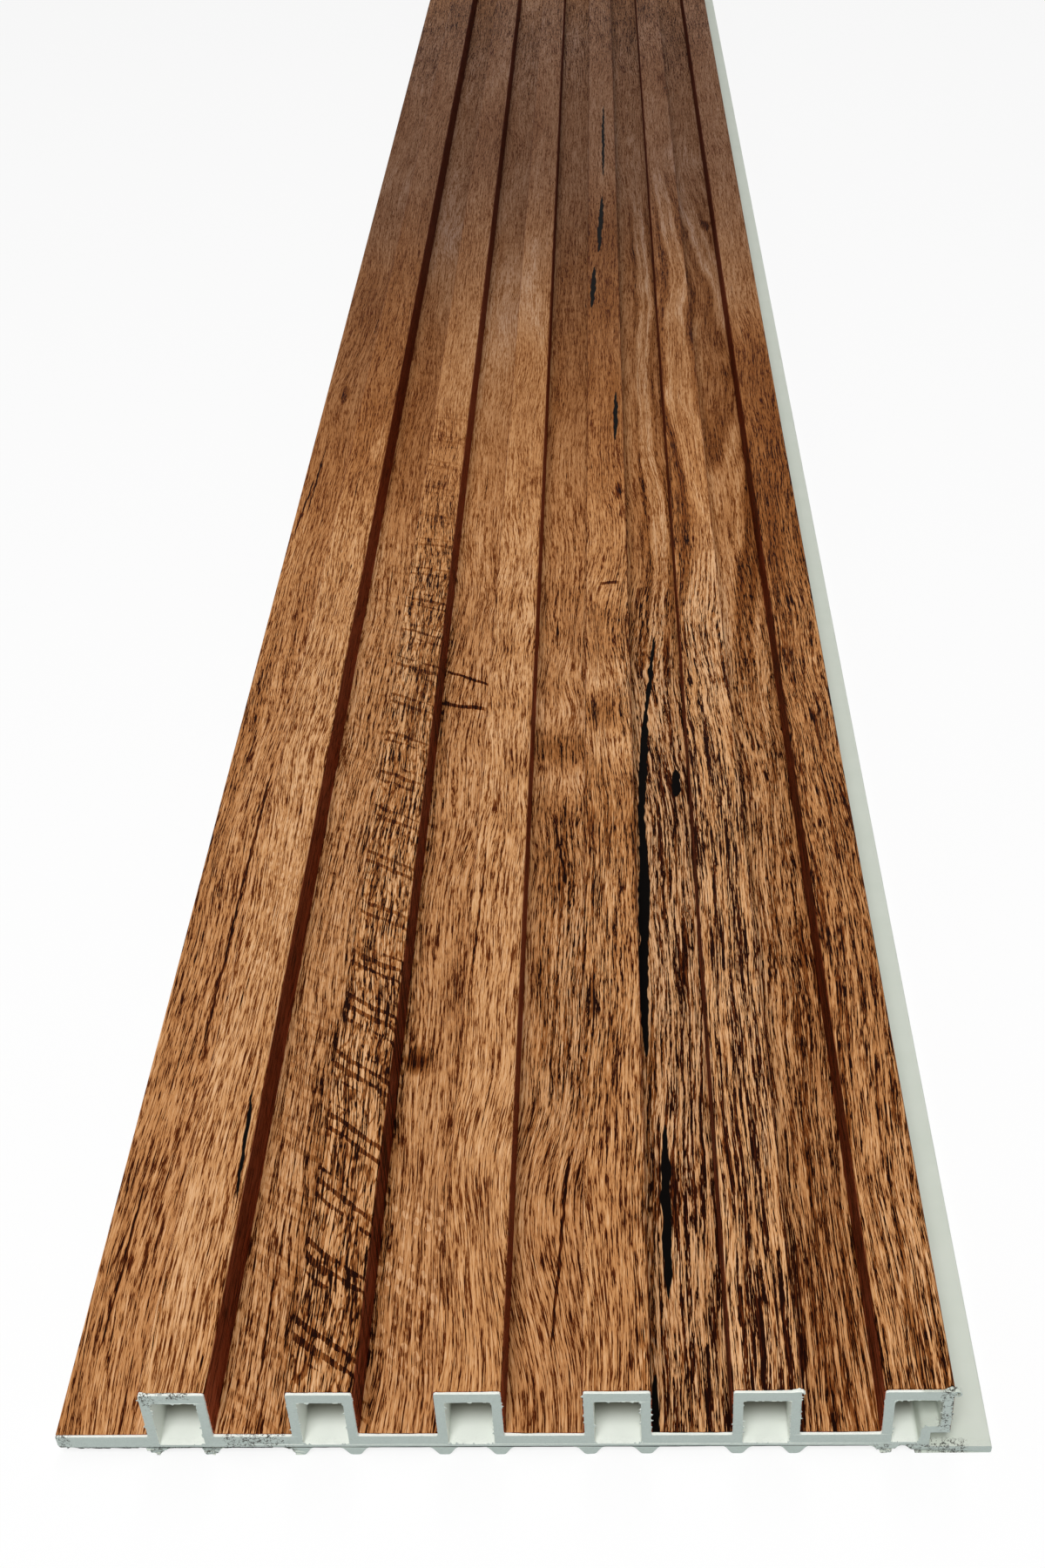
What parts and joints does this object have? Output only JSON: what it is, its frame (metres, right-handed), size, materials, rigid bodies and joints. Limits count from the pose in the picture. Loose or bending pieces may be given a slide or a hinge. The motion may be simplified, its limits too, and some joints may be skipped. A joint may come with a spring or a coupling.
{
  "type": "composite wall panel",
  "caption": "Long hollow ribbed wall panel with a printed wood-grain face, a bare fixing flange and slot on one edge and a plain wing on the other.",
  "frame": {"origin": "centre of the panel's outline as seen from its face, on the plane that its feet rest on", "axes": "+Y along the panel's length, away from the sawn end that the picture shows; +X across it, towards the fixing flange; +Z out of the decorated face"},
  "size_m": [0.1704, 2.9, 0.018],
  "materials": {
    "core": "pale grey-white extruded composite, matt, saw-cut at the ends",
    "film": "printed reclaimed-wood film, satin"
  },
  "bodies": {
    "root": {"extruded_profile": "core", "wood_grain_film": "film"}
  },
  "joints": []
}
